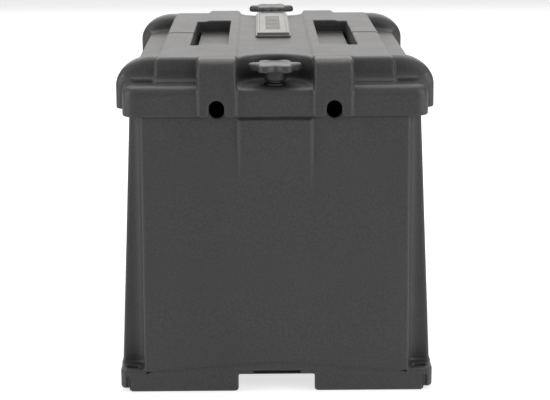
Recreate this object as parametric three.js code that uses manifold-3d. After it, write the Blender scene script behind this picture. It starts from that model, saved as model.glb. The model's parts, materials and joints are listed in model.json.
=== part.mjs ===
// Vented battery box with a lift-off lid, holding two 6 V deep-cycle batteries in series.
// Millimetres. X runs across the box, Y along it and Z up; the origin is under the middle of the base.
import * as THREE from 'three';
import { mergeVertices } from 'three/addons/utils/BufferGeometryUtils.js';
import Module from 'manifold-3d';

const wasm = await Module();
wasm.setup();

// ---- driving dimensions ----
const GAP = 0.3;                 // clearance between neighbouring pieces
const WALL = 4;                  // moulded wall thickness
const END_SIGNS = [-1, 1];       // front end, rear end
const SIDE_SIGNS = [-1, 1];      // left side, right side

const BASE = { halfX: 170, halfY: 252, corner: 12, height: 24, hollow: 17 };
const FOOT = { cutHalfX: 41, cutTop: 22, slotInner: 159, slotOuter: 164.5 };
const TUB = {
  top: 328.7, floor: 24,
  high: { halfX: 154, halfY: 245, fluteX: 11.5, fluteY: 12 },
  low: { halfX: 168, halfY: 250, fluteX: 25.5, fluteY: 30 },
};
const OUTLET = { x: 62, bodyZ: 309, bodyR: 8.2, lidZ: 314, lidR: 8 };
const BOLT_SLOT = { x: 156, y: 236, r: 4, reach: 3 };

const SKIRT = { halfX: 162, halfY: 250, corner: 15, low: 302, high: 335 };
const BLOCK = { halfX: 127, halfY: 223, high: 362 };
const SHELF = { halfX: 157, corner: 10, high: 341, low: 330, seatX: 148 };
const BAND = { inner: 40, outer: 82, halfY: 252, high: 364.5, round: 12, lean: 2 };
const CHANNEL_TOP = 361;
const CAP = { centreX: 129, centreZ: 331, rx: 41, rz: 31, low: 307, innerX: 158, inner: 185 };
const KNOB_POCKET = { r: 40, y: 230, floor: 333 };
const HAND = { inner: 52, outer: 94, halfY: 119, floor: 347, slotInner: 89.5, slotFloor: 337 };
const GROOVE = { halfY: 2.5, floor: 359.5 };

const ROD = { y: 226, r: 4.75, low: 17.3, high: 352, hole: 5.3 };
const ANCHOR = { halfX: 25, inner: 214, outer: 245, low: 20, high: 22 };
const KNOB = { r: 29, lobe: 3.2, lobes: 6, low: 335.6, neckLow: 338, headLow: 348.5, headHigh: 356.5 };
const INSERT = { r: 7, bore: 5.05, low: 336, high: 347 };
const THREAD_PITCH = 1.5875;
const REAR_TURNS_OUT = 9;        // the rear knob rests this many turns unscrewed
const PLATE = { halfX: 20.5, y0: -46, y1: 184, high: 367, rim: 3.5, sunk: 1.5 };

const CELL = { halfX: 130, halfY: 90.5, y: 92.5, corner: 8, top: 264, cover: 284 };
const POST = { x: 108, inset: 62, padR: 9, padHigh: 8, studR: 4, studHigh: 22 };
const VENT = { halfX: 80, nearEdge: 5, width: 44, high: 11, hingeY: 36.5, barrelR: 2.3, barrelHalf: 66 };
const LINK = { r: 5.5, rise: 26, lug: 2 };

// ---- materials ----
function finish(colour, roughness, metalness = 0) {
  return new THREE.MeshStandardMaterial({ color: colour, roughness, metalness });
}
const MOULDED = () => finish(0x3a3a3b, 0.62);
const KNOB_PLASTIC = () => finish(0x2c2c2d, 0.5);
const PLATE_PLASTIC = () => finish(0x6a6862, 0.5);
const STEEL = () => finish(0xa8abae, 0.35, 1);
const SEAL = () => finish(0x161617, 0.6);
const BRASS = () => finish(0xb5924c, 0.35, 1);
const LEAD = () => finish(0x7b7d80, 0.55, 1);
const CASE_PLASTIC = () => finish(0x6e1f1c, 0.45);
const COVER_PLASTIC = () => finish(0x1d1d1f, 0.5);
const VENT_PLASTIC = () => finish(0xc9a21c, 0.5);
const CABLE_JACKET = () => finish(0x151515, 0.55);
const COPPER = () => finish(0xb0764e, 0.35, 1);

// ---- solids ----
function solidOf(geometry) {
  const bare = geometry.clone();
  bare.deleteAttribute('normal');
  bare.deleteAttribute('uv');
  const merged = mergeVertices(bare, 1e-4);
  const mesh = new wasm.Mesh({
    numProp: 3,
    vertProperties: new Float32Array(merged.attributes.position.array),
    triVerts: new Uint32Array(merged.index.array),
  });
  return new wasm.Manifold(mesh);
}

function geometryOf(solid) {
  const mesh = solid.getMesh();
  const geometry = new THREE.BufferGeometry();
  geometry.setAttribute('position', new THREE.BufferAttribute(new Float32Array(mesh.vertProperties), 3));
  geometry.setIndex(new THREE.BufferAttribute(new Uint32Array(mesh.triVerts), 1));
  return geometry;
}

const join = (first, ...rest) => rest.reduce((sum, next) => sum.add(next), first);
const cut = (first, ...rest) => rest.reduce((sum, next) => sum.subtract(next), first);

function block(x0, x1, y0, y1, z0, z1) {
  const geometry = new THREE.BoxGeometry(Math.abs(x1 - x0), Math.abs(y1 - y0), Math.abs(z1 - z0));
  return solidOf(geometry.translate((x0 + x1) / 2, (y0 + y1) / 2, (z0 + z1) / 2));
}

function prismGeometry(shape, z0, z1, curveSegments = 5) {
  const geometry = new THREE.ExtrudeGeometry(shape, { depth: z1 - z0, bevelEnabled: false, curveSegments });
  return geometry.translate(0, 0, z0);
}
const prism = (shape, z0, z1, curveSegments) => solidOf(prismGeometry(shape, z0, z1, curveSegments));

function cylinder(radius, x, y, z0, z1, sides = 20) {
  const geometry = new THREE.CylinderGeometry(radius, radius, z1 - z0, sides);
  return solidOf(geometry.rotateX(Math.PI / 2).translate(x, y, (z0 + z1) / 2));
}

function lengthways(radius, x, z, y0, y1, sides = 16) {
  const geometry = new THREE.CylinderGeometry(radius, radius, Math.abs(y1 - y0), sides);
  return solidOf(geometry.translate(x, (y0 + y1) / 2, z));
}

function crossways(radius, x0, x1, y, z, sides = 8) {
  const geometry = new THREE.CylinderGeometry(radius, radius, Math.abs(x1 - x0), sides);
  return solidOf(geometry.rotateZ(Math.PI / 2).translate((x0 + x1) / 2, y, z));
}

// A profile drawn in X and Z, run along Y.
function runAlongY(shape, y0, y1, curveSegments = 8) {
  const geometry = prismGeometry(shape, 0, y1 - y0, curveSegments);
  return solidOf(geometry.rotateX(Math.PI / 2).translate(0, y1, 0));
}

// A profile drawn in Y and Z, run along X.
function runAlongX(shape, x0, x1, curveSegments = 4) {
  const geometry = prismGeometry(shape, 0, x1 - x0, curveSegments);
  const turn = new THREE.Matrix4().makeBasis(
    new THREE.Vector3(0, 1, 0), new THREE.Vector3(0, 0, 1), new THREE.Vector3(1, 0, 0));
  return solidOf(geometry.applyMatrix4(turn).translate(x0, 0, 0));
}

// ---- outlines ----
function roundedRectangle(halfX, halfY, corner, centreY = 0) {
  const shape = new THREE.Shape();
  shape.absarc(halfX - corner, centreY + halfY - corner, corner, 0, Math.PI / 2);
  shape.absarc(corner - halfX, centreY + halfY - corner, corner, Math.PI / 2, Math.PI);
  shape.absarc(corner - halfX, centreY + corner - halfY, corner, Math.PI, Math.PI * 1.5);
  shape.absarc(halfX - corner, centreY + corner - halfY, corner, Math.PI * 1.5, Math.PI * 2);
  shape.closePath();
  return shape;
}

// The tub's section: a rectangle whose four corners are hollowed into flutes.
function flutedPoints({ halfX, halfY, fluteX, fluteY }, inset = 0) {
  const edgeX = halfX - inset;
  const edgeY = halfY - inset;
  const innerX = edgeX - fluteX;
  const innerY = edgeY - fluteY;
  const hollow = Math.min(fluteX, fluteY) * 0.6;
  const round = 2;
  const corner = [[edgeX, innerY - round], [edgeX - round, innerY], [innerX + hollow, innerY]];
  for (const share of [1 / 3, 2 / 3]) {
    const angle = -Math.PI / 2 - share * Math.PI / 2;
    corner.push([innerX + hollow * (1 + Math.cos(angle)), innerY + hollow * (1 + Math.sin(angle))]);
  }
  corner.push([innerX, innerY + hollow], [innerX, edgeY - round], [innerX - round, edgeY]);
  const flipX = corner.map(([x, y]) => [-x, y]).reverse();
  const upper = [...corner, ...flipX];
  const lower = upper.map(([x, y]) => [-x, -y]);
  return [...upper, ...lower].map(([x, y]) => new THREE.Vector2(x, y));
}

// A straight-sided solid between two outlines that have the same number of points.
function loft(lowPoints, highPoints, z0, z1) {
  const geometry = prismGeometry(new THREE.Shape(highPoints), z0, z1);
  const position = geometry.attributes.position;
  for (let i = 0; i < position.count; i += 1) {
    if (Math.abs(position.getZ(i) - z0) > 1e-3) continue;
    const x = position.getX(i);
    const y = position.getY(i);
    const found = highPoints.findIndex((point) => Math.hypot(point.x - x, point.y - y) < 1e-3);
    position.setXY(i, lowPoints[found].x, lowPoints[found].y);
  }
  return solidOf(geometry);
}

// ---- pieces ----
const model = new THREE.Group();

function addPiece(name, solid, material) {
  const mesh = new THREE.Mesh(geometryOf(solid), material);
  mesh.name = name;
  model.add(mesh);
  return mesh;
}

function makeBox() {
  const outside = loft(flutedPoints(TUB.low), flutedPoints(TUB.high), BASE.height - 1, TUB.top);
  const inside = loft(flutedPoints(TUB.low, WALL), flutedPoints(TUB.high, WALL), TUB.floor, TUB.top + 1);
  let base = prism(roundedRectangle(BASE.halfX, BASE.halfY, BASE.corner), 0, BASE.height);
  const under = roundedRectangle(BASE.halfX - WALL, BASE.halfY - WALL, BASE.corner - WALL);
  base = cut(base, prism(under, -1, BASE.hollow));
  let box = cut(join(base, outside), inside);
  for (const end of END_SIGNS) {
    const past = end * (BASE.halfY + 1);
    box = cut(box, block(-FOOT.cutHalfX, FOOT.cutHalfX, end * (BASE.halfY - 3), past, -1, FOOT.cutTop));
    box = cut(box, block(-FOOT.cutHalfX, FOOT.cutHalfX, end * (BASE.halfY - 6), past, -1, BASE.hollow));
    box = cut(box, cylinder(ROD.hole, 0, end * ROD.y, BASE.hollow - 1, TUB.floor + 1));
    box = cut(box, block(-ANCHOR.halfX - GAP, ANCHOR.halfX + GAP, end * (ANCHOR.inner - GAP), past,
      ANCHOR.low - GAP, ANCHOR.high + GAP));
    for (const side of SIDE_SIGNS) {
      const slotY = end * (BASE.halfY - WALL - 2);
      box = cut(box, block(side * FOOT.slotInner, side * FOOT.slotOuter, slotY, past, -1, BASE.hollow));
      const boltX = side * BOLT_SLOT.x;
      const boltY = end * BOLT_SLOT.y;
      const bolt = (x) => cylinder(BOLT_SLOT.r, x, boltY, BASE.hollow - 1, BASE.height + 1, 12);
      const web = block(boltX - BOLT_SLOT.reach, boltX + BOLT_SLOT.reach,
        boltY - BOLT_SLOT.r, boltY + BOLT_SLOT.r, BASE.hollow - 1, BASE.height + 1);
      box = cut(box, join(bolt(boltX - BOLT_SLOT.reach), bolt(boltX + BOLT_SLOT.reach), web));
      const x = side * OUTLET.x;
      const inner = end * (TUB.high.halfY - 3 * WALL);
      box = cut(box, lengthways(OUTLET.bodyR, x, OUTLET.bodyZ, inner, past));
      box = cut(box, block(x - OUTLET.bodyR, x + OUTLET.bodyR, inner, past, OUTLET.bodyZ, TUB.top + 1));
    }
    const ribY = end * (CELL.y + CELL.halfY + 2);
    box = join(box, block(-118, 118, ribY, ribY + end * WALL, TUB.floor - 1, TUB.floor + 12));
  }
  return box;
}

function capProfile(side) {
  const shape = new THREE.Shape();
  shape.moveTo(side * (BLOCK.halfX - 2), SHELF.low);
  shape.lineTo(side * (BLOCK.halfX - 2), BLOCK.high);
  shape.lineTo(side * CAP.centreX, BLOCK.high);
  const steps = 7;
  for (let i = 1; i <= steps; i += 1) {
    const angle = (i / steps) * Math.PI / 2;
    shape.lineTo(side * (CAP.centreX + CAP.rx * Math.sin(angle)), CAP.centreZ + CAP.rz * Math.cos(angle));
  }
  shape.lineTo(side * (CAP.centreX + CAP.rx), CAP.low);
  shape.lineTo(side * CAP.innerX, CAP.low);
  shape.lineTo(side * CAP.innerX, SHELF.low);
  shape.closePath();
  return shape;
}

function bandProfile() {
  const front = new THREE.Shape();
  const { halfY, high, round, lean } = BAND;
  front.moveTo(halfY, SKIRT.low);
  front.lineTo(halfY - lean, high - round);
  front.absarc(halfY - lean - round, high - round, round, 0, Math.PI / 2);
  front.lineTo(lean + round - halfY, high);
  front.absarc(lean + round - halfY, high - round, round, Math.PI / 2, Math.PI);
  front.lineTo(-halfY, SKIRT.low);
  front.closePath();
  return front;
}

function lidOutside() {
  const skirt = prism(roundedRectangle(SKIRT.halfX, SKIRT.halfY, SKIRT.corner), SKIRT.low, SKIRT.high);
  const shelf = prism(roundedRectangle(SHELF.halfX, BLOCK.halfY, SHELF.corner), SKIRT.high - 5, SHELF.high);
  const middle = BAND.inner + 1;
  const channel = block(-middle, middle, -BLOCK.halfY, BLOCK.halfY, SKIRT.high - 5, CHANNEL_TOP);
  let shell = join(skirt, shelf, channel);
  for (const side of SIDE_SIGNS) {
    shell = join(shell, block(side * BAND.inner, side * BLOCK.halfX, -BLOCK.halfY, BLOCK.halfY,
      SKIRT.high - 5, BLOCK.high));
    const ends = [side * BAND.inner, side * BAND.outer].sort((a, b) => a - b);
    shell = join(shell, runAlongX(bandProfile(), ends[0], ends[1]));
    for (const end of END_SIGNS) {
      const span = [end * CAP.inner, end * BLOCK.halfY].sort((a, b) => a - b);
      shell = join(shell, runAlongY(capProfile(side), span[0], span[1]));
    }
  }
  return shell;
}

// A well sunk into the top at each end for a knob: straight sides and a round back.
function knobWell(end, grow, z0, z1) {
  const radius = KNOB_POCKET.r + grow;
  const mouth = block(-radius, radius, end * KNOB_POCKET.y, end * (BAND.halfY + 1), z0, z1);
  return join(mouth, cylinder(radius, 0, end * KNOB_POCKET.y, z0, z1, 32));
}

function handWell(side, grow, topZ) {
  const { inner, outer, halfY, floor, slotInner, slotFloor } = HAND;
  const reach = halfY + grow;
  const far = side * (outer + grow);
  const tray = block(side * (inner - grow), far, -reach, reach, floor - grow, topZ);
  const fingerSlot = block(side * (slotInner - grow), far, -reach, reach, slotFloor - grow, topZ);
  return join(tray, fingerSlot);
}

function lidHollow() {
  const low = KNOB_POCKET.floor - WALL;
  let hollow = prism(roundedRectangle(SKIRT.halfX - WALL, SKIRT.halfY - WALL, SKIRT.corner - WALL),
    SKIRT.low - 1, TUB.top + GAP);
  const underBlock = block(WALL - BLOCK.halfX, BLOCK.halfX - WALL, WALL - BLOCK.halfY, BLOCK.halfY - WALL,
    low - 1, CHANNEL_TOP - WALL);
  const underShelf = block(-SHELF.seatX, SHELF.seatX, WALL - BLOCK.halfY, BLOCK.halfY - WALL,
    low - 1, SHELF.high - WALL);
  hollow = join(hollow, underBlock, underShelf);
  for (const side of SIDE_SIGNS) {
    const bandReach = BAND.halfY - BAND.lean - WALL - 1;
    hollow = join(hollow, block(side * (BAND.inner + WALL), side * (BAND.outer - WALL),
      -bandReach, bandReach, low - 1, BAND.high - BAND.round));
    for (const end of END_SIGNS) {
      hollow = join(hollow, block(side * (BLOCK.halfX - 2 * WALL), side * (SHELF.seatX + WALL),
        end * (CAP.inner + WALL), end * (BLOCK.halfY - WALL), low - 1, SHELF.high + WALL));
    }
    hollow = cut(hollow, handWell(side, WALL - 0.5, CHANNEL_TOP + 1));
  }
  for (const end of END_SIGNS) {
    hollow = cut(hollow, knobWell(end, WALL, low, CHANNEL_TOP + 1));
  }
  return hollow;
}

function makeLid() {
  let lid = cut(lidOutside(), lidHollow());
  const above = BAND.high + 1;
  for (const end of END_SIGNS) {
    lid = cut(lid, knobWell(end, 0, KNOB_POCKET.floor, above));
    lid = cut(lid, cylinder(ROD.hole, 0, end * ROD.y, KNOB_POCKET.floor - 6, KNOB_POCKET.floor + 1));
    for (const side of SIDE_SIGNS) {
      const x = side * OUTLET.x;
      const inner = end * (BAND.halfY - 3 * WALL);
      const outer = end * (BAND.halfY + 1);
      lid = cut(lid, lengthways(OUTLET.lidR, x, OUTLET.lidZ, inner, outer));
      lid = cut(lid, block(x - OUTLET.lidR, x + OUTLET.lidR, inner, outer, SKIRT.low - 1, OUTLET.lidZ));
    }
  }
  for (const side of SIDE_SIGNS) {
    lid = cut(lid, handWell(side, 0, above));
    lid = cut(lid, block(side * (HAND.outer - 1), side * (BLOCK.halfX + 1),
      -GROOVE.halfY, GROOVE.halfY, GROOVE.floor, above));
  }
  return lid;
}

function makePlate() {
  const { halfX, y0, y1, high, rim, sunk } = PLATE;
  const slab = block(-halfX, halfX, y0, y1, CHANNEL_TOP + GAP, high);
  return cut(slab, block(rim - halfX, halfX - rim, y0 + rim, y1 - rim, high - sunk, high + 1));
}

function lobedOutline() {
  const count = KNOB.lobes * 10;
  const points = [];
  for (let i = 0; i < count; i += 1) {
    const angle = (i / count) * Math.PI * 2;
    const radius = KNOB.r - KNOB.lobe + KNOB.lobe * Math.cos(KNOB.lobes * angle);
    points.push(new THREE.Vector2(radius * Math.cos(angle), radius * Math.sin(angle)));
  }
  return new THREE.Shape(points);
}

function makeKnob() {
  const bevel = 1.6;
  const head = new THREE.ExtrudeGeometry(lobedOutline(), {
    depth: KNOB.headHigh - KNOB.headLow - 2 * bevel,
    bevelEnabled: true, bevelThickness: bevel, bevelSize: bevel, bevelOffset: -bevel, bevelSegments: 2,
  });
  head.translate(0, 0, KNOB.headLow + bevel);
  const neck = cylinder(11.4, 0, 0, KNOB.neckLow, KNOB.headLow + 1, 24);
  const foot = cylinder(8.3, 0, 0, KNOB.low, KNOB.neckLow + 1, 24);
  const insertBore = cylinder(INSERT.r + GAP, 0, 0, KNOB.low - 1, INSERT.high + GAP, 20);
  const rodBore = cylinder(INSERT.bore + GAP, 0, 0, KNOB.low - 1, ROD.high + 1.5, 20);
  return cut(join(solidOf(head), neck, foot), join(insertBore, rodBore));
}

function ring(outer, inner, z0, z1, sides = 20, x = 0, y = 0) {
  return cut(cylinder(outer, x, y, z0, z1, sides), cylinder(inner, x, y, z0 - 1, z1 + 1, sides));
}

function addHoldDown(end, label) {
  const y = end * ROD.y;
  const lift = end > 0 ? REAR_TURNS_OUT * THREAD_PITCH : 0;
  const place = (mesh, z) => mesh.position.set(0, y, z);
  place(addPiece(`knob_${label}`, makeKnob(), KNOB_PLASTIC()), lift);
  place(addPiece(`insert_${label}`, ring(INSERT.r, INSERT.bore, INSERT.low, INSERT.high), BRASS()), lift);
  const washerLow = KNOB_POCKET.floor + GAP;
  place(addPiece(`washer_${label}`, ring(12, ROD.hole, washerLow, washerLow + 2), SEAL()), lift);
  place(addPiece(`rod_${label}`, cylinder(ROD.r, 0, 0, ROD.low, ROD.high), STEEL()), 0);
  const anchor = cut(
    block(-ANCHOR.halfX, ANCHOR.halfX, end * (ANCHOR.inner - ROD.y), end * (ANCHOR.outer - ROD.y),
      ANCHOR.low, ANCHOR.high),
    cylinder(ROD.r + GAP, 0, 0, ANCHOR.low - 1, ANCHOR.high + 1));
  place(addPiece(`anchor_${label}`, anchor, STEEL()), 0);
  const nutLow = TUB.floor + GAP;
  const nut = cut(cylinder(8.2, 0, 0, nutLow, nutLow + 6, 6),
    cylinder(ROD.r + GAP, 0, 0, nutLow - 1, nutLow + 7));
  place(addPiece(`nut_${label}`, nut, STEEL()), 0);
}

// One ganged vent cap, drawn for the front battery with its hinge line at Y = 0 and Z = 0.
function makeVentCap() {
  const { halfX, nearEdge, width, high, barrelR, barrelHalf } = VENT;
  const lowZ = -barrelR;
  let cap = block(-halfX, halfX, nearEdge, width, lowZ, lowZ + high);
  for (const x of [-52, 0, 52]) {
    cap = join(cap, cylinder(13, x, width / 2 + 2, lowZ + high - 1, lowZ + high + 2, 16));
  }
  const arm = block(-barrelHalf + 3, barrelHalf - 3, 0, nearEdge + 1, -1.2, 1.2);
  const barrel = crossways(barrelR, -barrelHalf, barrelHalf, 0, 0, 10);
  const pintle = crossways(1.2, -barrelHalf - 3, barrelHalf + 3, 0, 0, 8);
  return join(cap, arm, barrel, pintle);
}

function makeCover(hingeLineY, hingeLineZ, centreY) {
  let cover = prism(roundedRectangle(CELL.halfX - 1, CELL.halfY - 1, CELL.corner, centreY),
    CELL.top + GAP, CELL.cover, 3);
  for (const side of SIDE_SIGNS) {
    const x0 = side * (VENT.barrelHalf + GAP);
    const ear = block(x0, side * (VENT.barrelHalf + 3.5), hingeLineY - 3, hingeLineY + 3,
      CELL.cover - 1, hingeLineZ + 3);
    cover = cut(join(cover, ear), crossways(1.6, x0 - side, side * (VENT.barrelHalf + 5), hingeLineY,
      hingeLineZ, 8));
  }
  return cover;
}

function addBattery(end, number) {
  const centreY = end * CELL.y;
  const shell = prism(roundedRectangle(CELL.halfX, CELL.halfY, CELL.corner, centreY),
    TUB.floor + GAP, CELL.top, 3);
  const inner = prism(roundedRectangle(CELL.halfX - 3, CELL.halfY - 3, CELL.corner - 3, centreY),
    TUB.floor + 3, CELL.top + 1, 3);
  addPiece(`battery_case_${number}`, cut(shell, inner), CASE_PLASTIC());

  const hingeLineY = centreY + end * VENT.hingeY;
  const hingeLineZ = CELL.cover + VENT.barrelR + GAP;
  addPiece(`battery_cover_${number}`, makeCover(hingeLineY, hingeLineZ, centreY), COVER_PLASTIC());
  const vent = addPiece(`vent_cap_${number}`, makeVentCap(), VENT_PLASTIC());
  vent.position.set(0, hingeLineY, hingeLineZ);
  vent.rotation.z = end > 0 ? Math.PI : 0;

  for (const [pole, side] of [['pos', end], ['neg', -end]]) {
    const postX = side * POST.x;
    const postY = centreY - end * POST.inset;
    const low = CELL.cover + GAP;
    const padHigh = low + POST.padHigh;
    const stud = cylinder(POST.studR, 0, 0, padHigh - 1, low + POST.studHigh, 12);
    const pad = cylinder(POST.padR, 0, 0, low, padHigh);
    const post = addPiece(`post_${pole}_${number}`, join(pad, stud), LEAD());
    post.position.set(postX, postY, 0);
    const linked = postX > 0;
    const nutLow = padHigh + GAP + (linked ? LINK.lug + GAP : 0);
    const nut = cut(cylinder(7.5, 0, 0, nutLow, nutLow + 6.5, 6),
      cylinder(POST.studR + GAP, 0, 0, nutLow - 1, nutLow + 8, 12));
    addPiece(`stud_nut_${pole}_${number}`, nut, STEEL()).position.set(postX, postY, 0);
  }
}

function addLink() {
  const lowZ = CELL.cover + GAP + POST.padHigh + GAP;
  const postY = CELL.y - POST.inset;
  const mouthY = postY - 13;
  const middleZ = lowZ + LINK.lug / 2;
  for (const end of END_SIGNS) {
    const y = end * postY;
    const tongue = block(POST.x - 4, POST.x + 4, y - end * 8, end * (mouthY - 4), lowZ, lowZ + LINK.lug);
    const lug = cut(join(cylinder(9, POST.x, y, lowZ, lowZ + LINK.lug), tongue),
      cylinder(POST.studR + GAP, POST.x, y, lowZ - 1, lowZ + LINK.lug + 1, 12));
    addPiece(`link_lug_${end > 0 ? 2 : 1}`, lug, COPPER());
  }
  const span = mouthY - 1;
  const route = new THREE.CatmullRomCurve3([
    new THREE.Vector3(POST.x, -span, middleZ),
    new THREE.Vector3(POST.x, -span * 0.6, middleZ + 3),
    new THREE.Vector3(POST.x, 0, middleZ + 5),
    new THREE.Vector3(POST.x, span * 0.6, middleZ + 3),
    new THREE.Vector3(POST.x, span, middleZ),
  ]);
  const section = new THREE.Shape();
  section.absarc(0, 0, LINK.r, 0, Math.PI * 2);
  const jacket = new THREE.ExtrudeGeometry(section,
    { steps: 12, bevelEnabled: false, extrudePath: route, curveSegments: 5 });
  let cable = solidOf(jacket);
  for (const end of END_SIGNS) {
    cable = cut(cable, block(POST.x - 4 - GAP, POST.x + 4 + GAP, end * (mouthY - 4 - GAP), end * (mouthY + 4),
      lowZ - GAP, lowZ + LINK.lug + GAP));
  }
  addPiece('link_cable', cable, CABLE_JACKET());
}

addPiece('box_body', makeBox(), MOULDED());
addPiece('lid', makeLid(), MOULDED());
addPiece('label_plate', makePlate(), PLATE_PLASTIC());
addHoldDown(-1, 'front');
addHoldDown(1, 'rear');
addBattery(-1, 1);
addBattery(1, 2);
addLink();

export default model;
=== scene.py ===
"""Looks for the vented battery box: moulded shells, knobs, plate, batteries, floor, light and camera."""
import json
import math

import bpy
import numpy as np
from mathutils import Matrix, Vector


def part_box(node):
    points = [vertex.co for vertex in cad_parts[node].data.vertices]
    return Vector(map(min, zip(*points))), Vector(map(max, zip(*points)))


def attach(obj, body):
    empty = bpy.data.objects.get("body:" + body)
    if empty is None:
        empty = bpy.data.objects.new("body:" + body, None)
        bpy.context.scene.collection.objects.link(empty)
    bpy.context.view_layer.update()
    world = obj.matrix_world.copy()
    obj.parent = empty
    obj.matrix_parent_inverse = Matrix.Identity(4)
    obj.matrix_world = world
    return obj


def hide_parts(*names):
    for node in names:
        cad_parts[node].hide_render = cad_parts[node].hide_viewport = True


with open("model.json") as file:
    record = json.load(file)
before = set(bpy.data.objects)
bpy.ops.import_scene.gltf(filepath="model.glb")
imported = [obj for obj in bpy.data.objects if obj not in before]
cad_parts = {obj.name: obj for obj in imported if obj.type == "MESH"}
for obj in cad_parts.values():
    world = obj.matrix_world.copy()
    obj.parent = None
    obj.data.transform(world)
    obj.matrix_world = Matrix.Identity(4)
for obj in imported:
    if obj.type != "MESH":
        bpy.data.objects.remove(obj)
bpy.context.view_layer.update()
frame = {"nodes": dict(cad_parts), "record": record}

MM = 0.001


def box_mm(node):
    """A CAD node's lowest and highest corners, in millimetres."""
    low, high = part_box(node)
    return np.array(low) / MM, np.array(high) / MM


LID_LOW, LID_HIGH = box_mm("lid")
TUB_LOW, TUB_HIGH = box_mm("box_body")
PLATE_LOW, PLATE_HIGH = box_mm("label_plate")
KNOB_LOW, KNOB_HIGH = box_mm("knob_front")
KNOB_REAR_LOW, KNOB_REAR_HIGH = box_mm("knob_rear")
ROD_LOW, ROD_HIGH = box_mm("rod_front")

# ---- shape sizes shared with the CAD model, in millimetres ----
WALL = 4.0
HALF_Y = LID_HIGH[1]
SKIRT_X, SKIRT_Y, SKIRT_R = 162.0, HALF_Y - 3.0, 15.0
SKIRT_LOW, LEDGE = LID_LOW[2], 335.0
SEAT = TUB_HIGH[2] + 0.3
BLOCK_X, PANEL_Y, CAP_Y, BLOCK_TOP = 127.0, HALF_Y - 27.5, HALF_Y - 31.0, 362.0
BAND_IN, BAND_OUT, BAND_TOP = 40.0, 82.0, LID_HIGH[2] - 1.7
CHANNEL_TOP = 361.0
SHELF_X, SHELF_TOP, SHELF_FALL = 157.0, 342.5, 0.1
CAP_CX, CAP_CZ, CAP_RX, CAP_RZ = 129.0, 331.0, LID_HIGH[0] - 129.0, 31.0
CAP_LOW, CAP_BACK = 307.0, 185.0
WELL_R, WELL_Y, WELL_FLOOR = 40.0, 230.0, 333.0
HAND_X0, HAND_X1, HAND_Y, HAND_FLOOR = 52.0, 94.0, 119.0, 347.0
FINGER_X0, FINGER_FLOOR = 89.5, 337.0
OUTLET_X, OUTLET_Z, OUTLET_R, OUTLET_END = 62.0, 311.4, 8.1, 236.0
NOTCH_Z, NOTCH_R, NOTCH_END = 309.0, 8.2, 233.0
ROD_HOLE_R = 5.3
GROOVE_HALF, GROOVE_FLOOR = 2.7, 358.6
ROD_Y = -(ROD_LOW[1] + ROD_HIGH[1]) / 2


# ---- distance-field shape tools: every field is negative inside the material ----
def smin(a, b, k):
    """Union with a fillet that blends over a width of k."""
    h = np.maximum(k - np.abs(a - b), 0.0) / k
    return np.minimum(a, b) - h * h * k / 4


def smax(a, b, k):
    """Intersection with a rounded edge."""
    return -smin(-a, -b, k)


def cut(a, b, k):
    """a with b taken away, the new edge rounded."""
    return smax(a, -b, k)


def between(v, low, high):
    return np.abs(v - (low + high) / 2) - (high - low) / 2


def rounded_rect(x, y, half_x, half_y, r):
    qx, qy = x - (half_x - r), y - (half_y - r)
    return np.hypot(np.maximum(qx, 0), np.maximum(qy, 0)) + np.minimum(np.maximum(qx, qy), 0) - r


def ramp(v, low, high):
    t = np.clip((v - low) / (high - low), 0, 1)
    return t * t * (3 - 2 * t)


def slot_field(u, v, centre, z, r):
    """An arch: a half round of radius r at height z, carried straight down."""
    return np.where(v > z, np.hypot(u - centre, v - z), np.abs(u - centre)) - r


# ---- meshing a distance field ----
def surface_net(field, low, high, step, mirror=True):
    """Vertices and quads of the field's zero surface. With mirror, the field is even in X and Y and
    only one quarter is sampled."""
    axes = []
    for axis in range(3):
        start = -step / 2 if mirror and axis < 2 else low[axis] - 1.5 * step
        count = int(math.ceil((high[axis] + 1.5 * step - start) / step)) + 1
        axes.append(start + step * np.arange(count))
    gx, gy, gz = np.meshgrid(*[a.astype(np.float32) for a in axes], indexing="ij", sparse=True)
    value = np.ascontiguousarray(np.broadcast_to(field(gx, gy, gz), [len(a) for a in axes]), np.float32)
    inside = value < 0
    cells = tuple(n - 1 for n in value.shape)

    def corner(array, dx, dy, dz):
        return array[dx:dx + cells[0], dy:dy + cells[1], dz:dz + cells[2]]

    corners = [(dx, dy, dz) for dx in (0, 1) for dy in (0, 1) for dz in (0, 1)]
    total = sum(corner(inside, *c).astype(np.uint8) for c in corners)
    active = (total > 0) & (total < 8)
    index = np.full(cells, -1, np.int64)
    where = np.argwhere(active)
    index[active] = np.arange(len(where))
    sums, counts = np.zeros((len(where), 3)), np.zeros(len(where))
    for a in corners:
        for axis in range(3):
            if a[axis]:
                continue
            b = tuple(1 if i == axis else a[i] for i in range(3))
            va, vb = corner(value, *a)[active], corner(value, *b)[active]
            crosses = (va < 0) != (vb < 0)
            share = va[crosses] / (va[crosses] - vb[crosses])
            points = np.tile(np.array(a, float), (len(share), 1))
            points[:, axis] = share
            sums[crosses] += points
            counts[crosses] += 1
    local = where + sums / counts[:, None]
    verts = np.stack([axes[i][0] + step * local[:, i] for i in range(3)], 1)
    quads = []
    for axis in range(3):
        u, v = (axis + 1) % 3, (axis + 2) % 3
        near = [slice(None)] * 3
        far = [slice(None)] * 3
        near[axis], far[axis] = slice(0, -1), slice(1, None)
        change = inside[tuple(near)] != inside[tuple(far)]
        spots = np.argwhere(change)
        keep = (spots[:, u] > 0) & (spots[:, v] > 0) & (spots[:, u] < cells[u]) & (spots[:, v] < cells[v])
        spots = spots[keep]
        flips = inside[tuple(near)][tuple(spots.T)]
        ring = []
        for du, dv in ((-1, -1), (0, -1), (0, 0), (-1, 0)):
            cell = spots.copy()
            cell[:, u] += du
            cell[:, v] += dv
            ring.append(index[tuple(cell.T)])
        quad = np.stack(ring, 1)
        quad[~flips] = quad[~flips][:, ::-1]
        quads.append(quad)
    return verts, np.concatenate(quads)


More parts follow.
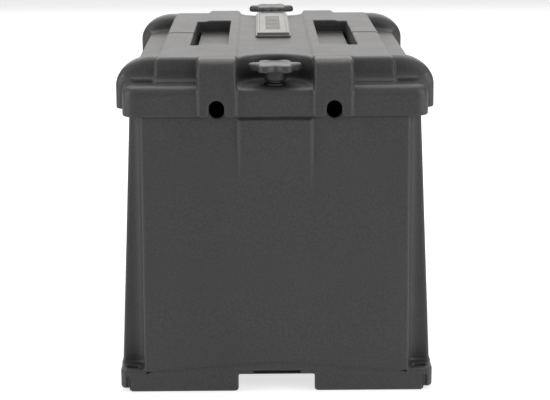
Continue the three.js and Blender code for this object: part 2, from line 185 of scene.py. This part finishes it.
def gradient(field, p, reach=0.05):
    out = np.empty_like(p)
    for axis in range(3):
        shift = np.zeros(3)
        shift[axis] = reach
        ahead, behind = p + shift, p - shift
        out[:, axis] = (field(*ahead.T) - field(*behind.T)) / (2 * reach)
    return out


def settle(field, p, step):
    """Moves points onto the zero surface."""
    for _ in range(3):
        g = gradient(field, p)
        size = np.maximum((g * g).sum(1), 0.05)
        move = (field(*p.T) / size)[:, None] * g
        length = np.maximum(np.linalg.norm(move, axis=1, keepdims=True), 1e-9)
        p = p - move * np.minimum(1.0, 0.6 * step / length)
    return p


def mesh_piece(name, verts_m, faces):
    mesh = bpy.data.meshes.new(name)
    mesh.from_pydata(verts_m.tolist(), [], faces.tolist())
    mesh.update()
    piece = bpy.data.objects.new(name, mesh)
    bpy.context.collection.objects.link(piece)
    return piece


def merge_close(verts, faces, grid=1e-3):
    keys = np.round(verts / grid).astype(np.int64)
    _, first, back = np.unique(keys, axis=0, return_index=True, return_inverse=True)
    faces = back.reshape(-1)[faces]
    return verts[first], faces


def apply_modifier(piece, name):
    bpy.context.view_layer.objects.active = piece
    bpy.ops.object.select_all(action="DESELECT")
    piece.select_set(True)
    bpy.ops.object.modifier_apply(modifier=name)


def field_piece(name, field, low, high, step, triangles, mirror=True):
    """A mesh of a distance field, thinned to about so many triangles, with normals from the field."""
    verts, quads = surface_net(field, low, high, step, mirror)
    verts = settle(field, verts, step)
    if mirror:
        tiny = np.abs(verts[:, :2]) < 0.02
        verts[:, :2][tiny] = 0.0
        parts, faces, count = [], [], 0
        for sx in (1, -1):
            for sy in (1, -1):
                parts.append(verts * (sx, sy, 1))
                faces.append((quads if sx * sy > 0 else quads[:, ::-1]) + count)
                count += len(verts)
        verts, quads = merge_close(np.concatenate(parts), np.concatenate(faces))
    piece = mesh_piece(name, verts * MM, quads)
    share = triangles / (2 * len(quads))
    if share < 1:
        thin = piece.modifiers.new("thin", "DECIMATE")
        thin.ratio = share
        apply_modifier(piece, thin.name)
    mesh = piece.data
    mesh.validate()
    mesh.shade_smooth()
    co = np.empty(len(mesh.vertices) * 3, np.float32)
    mesh.vertices.foreach_get("co", co)
    points = co.reshape(-1, 3).astype(float) / MM
    normals = gradient(field, points, 0.2)
    length = np.linalg.norm(normals, axis=1, keepdims=True)
    normals = np.where(length > 0.1, normals / np.maximum(length, 0.1), (0.0, 0.0, 1.0))
    mesh.normals_split_custom_set_from_vertices(normals.tolist())
    return piece


# ---- the lid ----
def cap_profile(x, z):
    turn = (np.sqrt(((x - CAP_CX) / CAP_RX) ** 2 + ((z - CAP_CZ) / CAP_RZ) ** 2) - 1) * CAP_RZ
    side = x - (CAP_CX + CAP_RX)
    return np.where(x < CAP_CX, z - BLOCK_TOP, np.where(z < CAP_CZ, side, turn))


def knob_well(x, y, z, grow=0.0):
    flat = np.where(y > WELL_Y, x - WELL_R, np.hypot(x, y - WELL_Y) - WELL_R) - grow
    return smax(flat, WELL_FLOOR - grow - z, 7)


def hand_well(x, y, z, grow=0.0):
    ends = y - HAND_Y - grow
    tray = smax(between(x, HAND_X0 - grow, HAND_X1 + grow), ends, 3)
    tray = smax(tray, HAND_FLOOR - grow - z, 2)
    finger = smax(between(x, FINGER_X0 - grow, HAND_X1 + grow), ends, 3)
    return np.minimum(tray, smax(finger, FINGER_FLOOR - grow - z, 2))


def lid_outside(x, y, z):
    skirt = smax(rounded_rect(x, y, SKIRT_X, SKIRT_Y, SKIRT_R), z - LEDGE, 12)
    skirt = smax(skirt, SKIRT_LOW - z, 2.5)
    shelf_top = SHELF_TOP - SHELF_FALL * np.maximum(x - BLOCK_X, 0)
    shelf = smax(rounded_rect(x, y, SHELF_X, CAP_Y - 5, 10), z - shelf_top, 10)
    lean = 0.05 * (z - LEDGE)
    top = CHANNEL_TOP + (BLOCK_TOP - CHANNEL_TOP) * ramp(x, BAND_IN, BAND_IN + 2)
    block = smax(smax(x - BLOCK_X, y - (PANEL_Y - lean), 3.5), z - top, 7)
    cap = smax(cap_profile(x, z), y - (CAP_Y - lean), 10)
    cap = smax(smax(cap, CAP_BACK - y, 13), CAP_LOW - z, 2)
    cap = smax(cap, BLOCK_X - 4 - x, 2)
    panel_foot = smax(smax(x - BLOCK_X, y - (PANEL_Y + 6), 3), z - (LEDGE + 1.8), 1.5)
    cap_foot = smax(rounded_rect(x, y, SHELF_X - 1, CAP_Y + 3, 9), z - (LEDGE + 3.2), 1.5)
    block = smin(block, panel_foot, 11)
    cap = smin(cap, cap_foot, 11)
    band = smax(y - (HALF_Y - 0.03 * (z - SKIRT_LOW)), z - BAND_TOP, 15)
    band = smax(smax(between(x, BAND_IN, BAND_OUT), band, 4.5), SKIRT_LOW - z, 2.5)
    upper = smin(smin(block, cap, 1.5), shelf, 5)
    return smin(smin(upper, band, 2.5), skirt, 1.5)


def lid_hollow(x, y, z):
    skirt = smax(rounded_rect(x, y, SKIRT_X - WALL, SKIRT_Y - WALL, SKIRT_R - WALL), z - SEAT, 1)
    under_block = smax(smax(x - (BLOCK_X - WALL), y - (PANEL_Y - 2 * WALL), 4), z - (CHANNEL_TOP - WALL), 4)
    under_shelf = smax(smax(x - 148, y - (PANEL_Y - 2 * WALL), 4), z - (SHELF_TOP - 2 - WALL), 4)
    under_band = smax(between(x, BAND_IN + WALL, BAND_OUT - WALL), y - (HALF_Y - 7), 4)
    under_band = smax(under_band, z - (BAND_TOP - 12), 4)
    cap_ends = between(y, CAP_BACK + WALL + 4, CAP_Y - WALL - 5)
    under_cap = smax(between(x, BLOCK_X - 2 * WALL, 152), cap_ends, 4)
    under_cap = smax(under_cap, z - 348, 4)
    rooms = np.minimum(np.minimum(under_block, under_shelf), np.minimum(under_band, under_cap))
    rooms = cut(rooms, np.minimum(hand_well(x, y, z, 3.5), knob_well(x, y, z, WALL)), 3)
    return np.minimum(skirt, np.maximum(rooms, SEAT - 4 - z))


def lid_field(x, y, z):
    x, y = np.abs(x), np.abs(y)
    lid = cut(lid_outside(x, y, z), knob_well(x, y, z), 4.5)
    lid = cut(lid, hand_well(x, y, z), 2.2)
    groove = np.maximum(np.maximum(y - GROOVE_HALF, GROOVE_FLOOR - z), between(x, HAND_X1 - 3, BLOCK_X + 3))
    lid = cut(lid, groove, 1.8)
    lid = cut(lid, lid_hollow(x, y, z), 1)
    outlet = smax(slot_field(x, z, OUTLET_X, OUTLET_Z, OUTLET_R), OUTLET_END - y, 1)
    lid = cut(lid, outlet, 3.0)
    rod_hole = np.hypot(x, y - ROD_Y) - ROD_HOLE_R
    return cut(lid, np.maximum(rod_hole, 326 - z), 1)


# ---- the tub ----
BASE_X, BASE_Y, BASE_R = TUB_HIGH[0], TUB_HIGH[1], 12.0
BASE_TOP, UNDERSIDE, FLOOR = 24.0, 17.0, 24.0
TUB_TOP = TUB_HIGH[2]
WALL_X, WALL_Y, FLARE_X, FLARE_Y = 154.0, 245.0, 15.2, 5.0
PAD_X, PAD_DEEP = 41.0, 3.6
PANEL_X, CREASE_LOW, CREASE_RISE, CREASE_POWER = 142.5, 20.0, 11.0, 1.1
GATE_X, GATE_TOP = 41.0, 22.0
ANCHOR_SLOT_X, ANCHOR_SLOT_LOW, ANCHOR_SLOT_HIGH, ANCHOR_SLOT_Y = 25.4, 19.6, 22.4, 213.6
CORNER_SLOT_IN, CORNER_SLOT_OUT, CORNER_SLOT_DEEP = 158.6, 163.4, 3.4
SHORT_FOOT_X, SHORT_FOOT_Z = 161.0, 3.0
BOLT_X, BOLT_Y, BOLT_R, BOLT_REACH = 156.0, 236.0, 4.0, 3.0
RIB_X, RIB_Y, RIB_HIGH = 118.0, 185.5, 12.0


def tub_section(x, y, z, inset):
    down = np.clip((TUB_TOP - z) / (TUB_TOP - BASE_TOP + 1), 0, 1.02)
    half_x = WALL_X + FLARE_X * down - inset
    half_y = WALL_Y + FLARE_Y * down - inset
    flute_x, flute_y = 11.5 + 14 * down, 12 + 18 * down
    pad = PAD_DEEP * ramp(z, 205, 292) * (1 - ramp(z, 298, 301)) * (1 - ramp(x, PAD_X - 5, PAD_X))
    if inset == 0:
        half_y = half_y + pad
    body = smax(x - half_x, y - half_y, 3)
    flute = smax(half_x - flute_x - x, half_y - flute_y - y, 14)
    return cut(body, flute, 4)


def tub_field(x, y, z):
    x, y = np.abs(x), np.abs(y)
    shell = smax(tub_section(x, y, z, 0.0), z - TUB_TOP, 1.5)
    shell = np.maximum(shell, BASE_TOP - 2 - z)
    crease = CREASE_LOW + CREASE_RISE * (1 - (x / PANEL_X) ** CREASE_POWER)
    skirt_top = np.where((x < PANEL_X) & (y > BASE_Y - 12), crease, BASE_TOP)
    lip = smax(y - (BASE_Y - 0.07 * z), z - skirt_top, 1.2)
    base = smax(rounded_rect(x, y, BASE_X, BASE_Y, BASE_R), lip, 1.5)
    base = smax(base, -z, 2.5)
    below = rounded_rect(x, y, BASE_X - WALL, BASE_Y - WALL - 2, 8)
    base = cut(base, np.maximum(below, z - UNDERSIDE), 1)
    body = smin(shell, base, 3)
    inner = smax(tub_section(x, y, z, WALL), FLOOR - z, 6)
    body = cut(body, inner, 1)
    gate = between(x, -GATE_X, GATE_X)
    deep = smax(smax(gate, z - UNDERSIDE, 1), BASE_Y - 7 - y, 1)
    shallow = smax(smax(gate, z - GATE_TOP, 2), BASE_Y - 3.2 - y, 1)
    body = cut(body, np.minimum(deep, shallow), 4.5)
    anchor_slot = np.maximum(x - ANCHOR_SLOT_X, between(z, ANCHOR_SLOT_LOW, ANCHOR_SLOT_HIGH))
    body = cut(body, np.maximum(anchor_slot, ANCHOR_SLOT_Y - y), 0.6)
    corner = np.maximum(between(x, CORNER_SLOT_IN, CORNER_SLOT_OUT), z - UNDERSIDE)
    body = cut(body, np.maximum(corner, BASE_Y - CORNER_SLOT_DEEP - y), 1.5)
    short_foot = np.maximum(np.maximum(SHORT_FOOT_X - x, z - SHORT_FOOT_Z), BASE_Y - 26 - y)
    body = cut(body, short_foot, 2.5)
    bolt = np.hypot(np.maximum(np.abs(x - BOLT_X) - BOLT_REACH, 0), y - BOLT_Y) - BOLT_R
    body = cut(body, np.maximum(bolt, UNDERSIDE - 2 - z), 1)
    body = cut(body, np.maximum(np.hypot(x, y - ROD_Y) - ROD_HOLE_R, UNDERSIDE - 2 - z), 0.6)
    side = np.abs(x - OUTLET_X)
    notch = np.where(z < NOTCH_Z, np.hypot(side, z - NOTCH_Z), side) - NOTCH_R
    body = cut(body, np.maximum(notch, NOTCH_END - y), 2)
    rib = smax(between(y, RIB_Y, RIB_Y + WALL), x - RIB_X, 2)
    rib = smax(rib, between(z, FLOOR - 2, FLOOR + RIB_HIGH), 2)
    return smin(body, rib, 2)


# ---- the knobs and the plate ----
def knob_field(x, y, z):
    """A six-lobed knob on the Z axis, at the front knob's height."""
    angle = np.arctan2(y, x)
    sector = math.pi / 3
    folded = np.abs(np.mod(angle + sector / 2, sector) - sector / 2)
    r = np.hypot(x, y)
    u, v = r * np.cos(folded), r * np.sin(folded)
    lobe = np.hypot(u - 21.6, v) - 7.3
    outline = smin(lobe, r - 20.5, 7)
    head_low, top = KNOB_HIGH[2] - 8, KNOB_HIGH[2]
    dish = 0.7 * (1 - ramp(r, 11.5, 14.0))
    head = smax(smax(outline, z - (top - dish), 4.5), head_low - z, 2.5)
    neck = smax(r - 11.4, 338 + np.maximum(r - 10.4, 0) - z, 0.8)
    neck = np.maximum(neck, z - (top - 3))
    foot = np.maximum(np.maximum(r - 8.3, KNOB_LOW[2] - z), z - 340)
    knob = np.minimum(smin(head, neck, 3), foot)
    bore = np.minimum(np.maximum(r - 7.3, z - 347.3), np.maximum(r - 5.35, z - 353.5))
    return cut(knob, bore, 0.5)


def plate_field(x, y, z):
    """The rimmed plate with a sunk field and a row of plain raised bars."""
    middle = (PLATE_LOW[1] + PLATE_HIGH[1]) / 2
    half_y = (PLATE_HIGH[1] - PLATE_LOW[1]) / 2
    x, y = np.abs(x), y - middle
    ay = np.abs(y)
    low, top = PLATE_LOW[2], PLATE_HIGH[2]
    foot = smax(rounded_rect(x, ay, PLATE_HIGH[0], half_y, 2.5), z - (low + 2.6), 1)
    slab = smax(rounded_rect(x, ay, PLATE_HIGH[0] - 1.6, half_y - 1.6, 2), z - top, 1.4)
    plate = np.maximum(np.minimum(foot, slab), low - z)
    sunk = smax(rounded_rect(x, ay, PLATE_HIGH[0] - 4.6, half_y - 4.6, 2), top - 1.3 - z, 1)
    plate = cut(plate, sunk, 0.8)
    pitch = 11.0
    cell = np.abs(np.mod(y + pitch / 2, pitch) - pitch / 2)
    bar = rounded_rect(x, cell, 8.5, 2.6, 0.8)
    bars = np.maximum(np.maximum(bar, z - (top - 0.7)), np.maximum(ay - 72, low + 1 - z))
    return smin(plate, bars, 0.5)


def knob_at(label, low, high):
    centre = (low + high) / 2
    lift = high[2] - KNOB_HIGH[2]

    def field(x, y, z):
        return knob_field(x - centre[0], y - centre[1], z - lift)

    piece = field_piece(f"knob_{label}_piece", field, low, high, 0.7, 26000, mirror=False)
    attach(piece, f"knob_{label}")
    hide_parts(f"knob_{label}")
    return piece


# ---- materials ----
class Nodes:
    """A material's node tree, with short ways to add and link nodes."""

    def __init__(self, name):
        self.material = bpy.data.materials.new(name)
        self.material.use_nodes = True
        self.tree = self.material.node_tree
        self.shader = self.tree.nodes["Principled BSDF"]
        self.place = self.tree.nodes.new("ShaderNodeTexCoord").outputs["Object"]

    def link(self, source, target):
        self.tree.links.new(source, target)

    def set(self, **values):
        for key, value in values.items():
            self.shader.inputs[key.replace("_", " ")].default_value = value

    def noise(self, scale, detail=2.0, roughness=0.5, stretch=(1, 1, 1)):
        node = self.tree.nodes.new("ShaderNodeTexNoise")
        node.inputs["Scale"].default_value = scale
        node.inputs["Detail"].default_value = detail
        node.inputs["Roughness"].default_value = roughness
        source = self.place
        if stretch != (1, 1, 1):
            mapping = self.tree.nodes.new("ShaderNodeMapping")
            mapping.inputs["Scale"].default_value = stretch
            self.link(self.place, mapping.inputs["Vector"])
            source = mapping.outputs["Vector"]
        self.link(source, node.inputs["Vector"])
        return node.outputs["Fac"]

    def ramp(self, source, stops):
        node = self.tree.nodes.new("ShaderNodeValToRGB")
        ramp_points = node.color_ramp.elements
        while len(ramp_points) < len(stops):
            ramp_points.new(0.5)
        for point, (where, colour) in zip(ramp_points, stops):
            point.position = where
            point.color = (*colour, 1) if len(colour) == 3 else colour
        self.link(source, node.inputs["Fac"])
        return node.outputs["Color"]

    def mix(self, share, first, second, mode="MIX"):
        node = self.tree.nodes.new("ShaderNodeMix")
        node.data_type = "RGBA"
        node.blend_type = mode
        for key, value in (("Factor", share), ("A", first), ("B", second)):
            socket = node.inputs[key]
            if isinstance(value, (int, float)):
                socket.default_value = value
            elif isinstance(value, tuple):
                socket.default_value = (*value, 1)
            else:
                self.link(value, socket)
        return node.outputs["Result"]

    def bump(self, height, strength, distance):
        node = self.tree.nodes.new("ShaderNodeBump")
        node.inputs["Strength"].default_value = strength
        node.inputs["Distance"].default_value = distance
        self.link(height, node.inputs["Height"])
        previous = self.shader.inputs["Normal"]
        if previous.is_linked:
            self.link(previous.links[0].from_socket, node.inputs["Normal"])
        self.link(node.outputs["Normal"], previous)


def shade(colour, factor):
    return tuple(min(1.0, c * factor) for c in colour)


def plastic(name, colour, rough, grain=900.0, grain_depth=0.00012, strength=0.35, variation=0.08):
    """Moulded plastic: fine grain, faint flow marks and uneven gloss."""
    m = Nodes(name)
    m.set(IOR=1.39)
    flow = m.noise(9, 3, 0.55, (1, 1, 0.35))
    fine = m.noise(grain, 2, 0.6)
    tone = m.ramp(flow, [(0.3, shade(colour, 1 - variation)), (0.7, shade(colour, 1 + variation))])
    speck = m.ramp(fine, [(0.35, (0.82, 0.82, 0.82)), (0.65, (1.15, 1.15, 1.15))])
    m.link(m.mix(1.0, tone, speck, "MULTIPLY"), m.shader.inputs["Base Color"])
    gloss = m.ramp(m.noise(34, 3), [(0.3, (rough - 0.02,) * 3), (0.7, (rough + 0.02,) * 3)])
    m.link(gloss, m.shader.inputs["Roughness"])
    m.bump(fine, strength, grain_depth)
    return m.material


def metal(name, colour, rough, stretch=(1, 1, 1)):
    """Plated or cast metal with fine machining marks and dulled patches."""
    m = Nodes(name)
    m.set(Metallic=1.0)
    patches = m.noise(60, 4, 0.6)
    m.link(m.ramp(patches, [(0.3, shade(colour, 0.8)), (0.75, shade(colour, 1.08))]),
           m.shader.inputs["Base Color"])
    marks = m.noise(700, 2, 0.5, stretch)
    m.link(m.ramp(marks, [(0.25, (rough - 0.08,) * 3), (0.75, (rough + 0.1,) * 3)]),
           m.shader.inputs["Roughness"])
    m.bump(marks, 0.2, 0.00005)
    return m.material


MOULDED = (0.034, 0.0338, 0.0342)
MATERIALS = {
    "moulded_case": plastic("moulded_case", MOULDED, 0.5, 560, 0.0004, 0.5),
    "plate": plastic("plate", (0.11, 0.107, 0.1), 0.42, 500, 0.0001, 0.3),
    "knob": plastic("knob", (0.035, 0.035, 0.037), 0.46, 700, 0.0001, 0.3),
    "battery_case": plastic("battery_case", (0.13, 0.012, 0.01), 0.4, 300, 0.0001, 0.3),
    "battery_cover": plastic("battery_cover", (0.02, 0.02, 0.022), 0.45, 300, 0.0001, 0.3),
    "vent_cap": plastic("vent_cap", (0.5, 0.3, 0.02), 0.42, 300, 0.0001, 0.25),
    "cable_jacket": plastic("cable_jacket", (0.012, 0.012, 0.012), 0.5, 200, 0.0001, 0.3),
    "dark_steel": metal("dark_steel", (0.06, 0.06, 0.063), 0.45),
    "steel": metal("steel", (0.6, 0.61, 0.62), 0.3, (1, 1, 12)),
    "washer": plastic("washer", (0.015, 0.015, 0.016), 0.45, 300, 0.0001, 0.2),
    "brass": metal("brass", (0.62, 0.46, 0.2), 0.3),
    "lead": metal("lead", (0.22, 0.225, 0.235), 0.5),
    "copper": metal("copper", (0.6, 0.34, 0.2), 0.32),
}


def finish_with(piece, slot_name):
    piece.data.materials.clear()
    piece.data.materials.append(MATERIALS[slot_name])


def finish_cad_nodes():
    slots = {row["node"]: row["material_slot"] for row in frame["record"]["subparts"]}
    for name, node in frame["nodes"].items():
        if not node.material_slots:
            node.data.materials.append(None)
        for place in node.material_slots:
            place.link = "OBJECT"
            place.material = MATERIALS["dark_steel" if name.startswith("anchor") else slots[name]]


# ---- pieces ----
def make_lid():
    piece = field_piece("lid_shell", lid_field, LID_LOW, LID_HIGH, 1.5, 140000)
    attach(piece, "lid")
    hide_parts("lid")
    finish_with(piece, "moulded_case")


def make_tub():
    piece = field_piece("tub_shell", tub_field, TUB_LOW, TUB_HIGH, 1.8, 140000)
    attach(piece, "box")
    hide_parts("box_body")
    finish_with(piece, "moulded_case")


def make_plate():
    piece = field_piece("label_plate_piece", plate_field, PLATE_LOW, PLATE_HIGH, 0.8, 30000, mirror=False)
    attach(piece, "lid")
    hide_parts("label_plate")
    finish_with(piece, "plate")


# ---- camera, floor and light ----
WARM = (1.0, 0.985, 0.955)


def make_camera():
    pitch, yaw, roll = math.radians(12.69), math.radians(0.56), math.radians(-0.27)
    forward = Vector((math.sin(yaw) * math.cos(pitch), math.cos(yaw) * math.cos(pitch), -math.sin(pitch)))
    right = Vector((math.cos(yaw), -math.sin(yaw), 0))
    up = right.cross(forward)
    right, up = (right * math.cos(roll) + up * math.sin(roll), up * math.cos(roll) - right * math.sin(roll))
    data = bpy.data.cameras.new("camera")
    data.lens = 106.0
    data.sensor_width = 36.0
    camera = bpy.data.objects.new("camera", data)
    bpy.context.collection.objects.link(camera)
    turn = Matrix((right, up, -forward)).transposed().to_4x4()
    distance = 1.6765
    place = Vector((-0.01734, -HALF_Y * MM - distance, 0.591))
    camera.matrix_world = Matrix.Translation(place) @ turn
    bpy.context.scene.camera = camera


def make_floor():
    size = 6.0
    mesh = bpy.data.meshes.new("floor")
    corners = [(-size, -size, 0), (size, -size, 0), (size, size, 0), (-size, size, 0)]
    mesh.from_pydata(corners, [], [(0, 1, 2, 3)])
    floor = bpy.data.objects.new("floor", mesh)
    bpy.context.collection.objects.link(floor)
    floor.location.z = -0.0005
    m = Nodes("floor_paint")
    m.set(Roughness=0.9, Emission_Color=(1, 1, 1, 1), Emission_Strength=0.7)
    paint = m.ramp(m.noise(3), [(0.3, (0.38,) * 3), (0.7, (0.4,) * 3)])
    m.link(paint, m.shader.inputs["Base Color"])
    mesh.materials.append(m.material)


def area_light(name, place, target, size, power, colour=(1, 1, 1)):
    data = bpy.data.lights.new(name, "AREA")
    data.shape = "RECTANGLE"
    data.size, data.size_y = size
    data.energy = power
    data.color = colour
    lamp = bpy.data.objects.new(name, data)
    bpy.context.collection.objects.link(lamp)
    lamp.location = place
    lamp.rotation_euler = (Vector(target) - Vector(place)).to_track_quat("-Z", "Y").to_euler()


def make_light():
    world = bpy.data.worlds.new("studio")
    bpy.context.scene.world = world
    world.use_nodes = True
    background = world.node_tree.nodes["Background"]
    background.inputs["Color"].default_value = (1.0, 1.0, 1.0, 1)
    background.inputs["Strength"].default_value = 0.2
    area_light("overhead", (0, 0.7, 2.4), (0, 0.2, 0.2), (3.2, 2.6), 92, WARM)
    area_light("back", (0, 3.4, 1.5), (0, 0, 0.35), (4.0, 1.8), 48, WARM)
    area_light("front", (1.1, -2.6, 2.1), (0, 0, 0.25), (1.4, 1.0), 16)
    area_light("side_left", (-2.4, -0.9, 1.0), (0, 0, 0.2), (1.0, 1.6), 40)
    area_light("side_right", (2.4, -1.1, 1.0), (0, 0, 0.2), (1.0, 1.6), 42)
    bpy.context.scene.view_settings.view_transform = "Standard"


make_camera()
make_floor()
make_light()
finish_cad_nodes()
make_lid()
make_tub()
make_plate()
for knob in (knob_at("front", KNOB_LOW, KNOB_HIGH), knob_at("rear", KNOB_REAR_LOW, KNOB_REAR_HIGH)):
    finish_with(knob, "knob")
